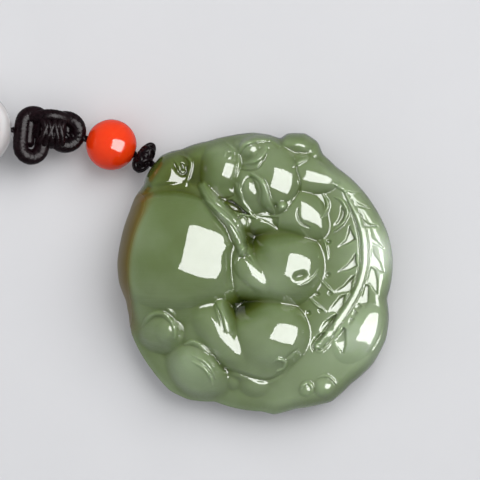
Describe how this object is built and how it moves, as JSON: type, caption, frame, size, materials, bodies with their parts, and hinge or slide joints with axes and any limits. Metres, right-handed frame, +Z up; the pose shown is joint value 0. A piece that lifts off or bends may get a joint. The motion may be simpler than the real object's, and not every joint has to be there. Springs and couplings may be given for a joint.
{
  "type": "jade pixiu pendant on a cord necklace",
  "caption": "Carved jade pixiu pendant on a black cord necklace with a red bead, a loop knot and a white bead, laid flat on its back.",
  "frame": {"origin": "middle of the pendant's flat back, on the surface that it lies on", "axes": "+Z up out of the carved face, +Y towards the pendant's top as pictured, +X to its right; the string and neck loop run towards -X"},
  "size_m": [0.3048, 0.1567, 0.0135],
  "materials": {
    "jade": "polished, glossy, slightly translucent",
    "red_agate": "polished, translucent",
    "white_stone": "polished",
    "black_cord": "braided satin cord",
    "black_thread": "twisted waxed thread"
  },
  "bodies": {
    "root": {"jade_pixiu": "jade", "hanging_thread": "black_thread", "small_knot": "black_thread", "red_bead": "red_agate", "loop_knot": "black_cord", "white_bead": "white_stone", "junction_knot": "black_cord", "neck_cord": "black_cord"}
  },
  "joints": []
}
